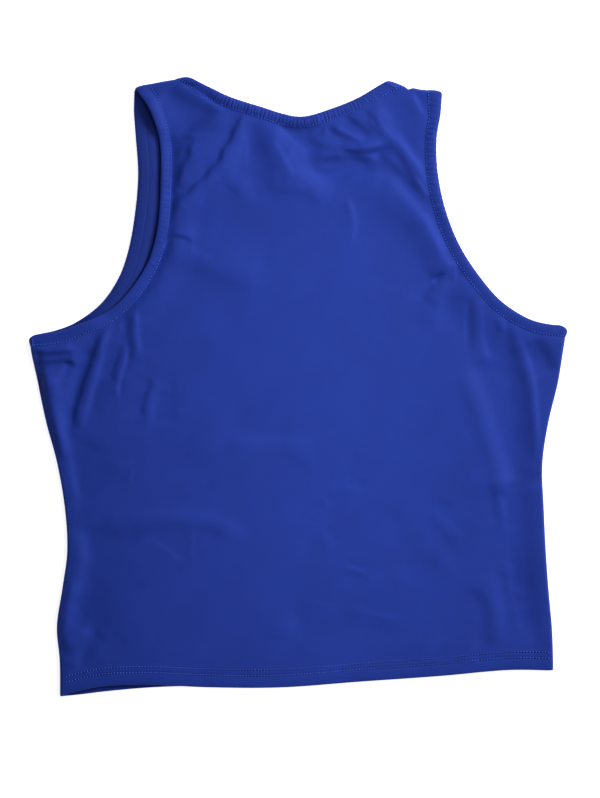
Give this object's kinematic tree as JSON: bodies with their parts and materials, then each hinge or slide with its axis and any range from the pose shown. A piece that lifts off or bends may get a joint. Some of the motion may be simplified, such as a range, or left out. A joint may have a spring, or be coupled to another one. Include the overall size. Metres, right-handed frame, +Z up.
{
  "type": "tank top",
  "caption": "Cropped sleeveless jersey tank top laid flat with its back up, with bound neck and armholes and a turned hem.",
  "frame": {"origin": "on the surface the garment lies on, under the centre of its bounding box", "axes": "+X to the right of the garment as it is seen from above, +Y up towards the neck, +Z up from the surface, through the front panel and then the back panel"},
  "size_m": [0.4594, 0.5272, 0.0086],
  "materials": {
    "jersey": "smooth matte stretch jersey with a faint sheen, royal blue",
    "binding": "the same jersey folded over the edge and puckered by elastic and zigzag stitching, royal blue"
  },
  "bodies": {
    "root": {"back_panel": "jersey", "front_panel": "jersey", "neck_band": "binding", "armhole_band_left": "binding", "armhole_band_right": "binding"}
  },
  "joints": []
}
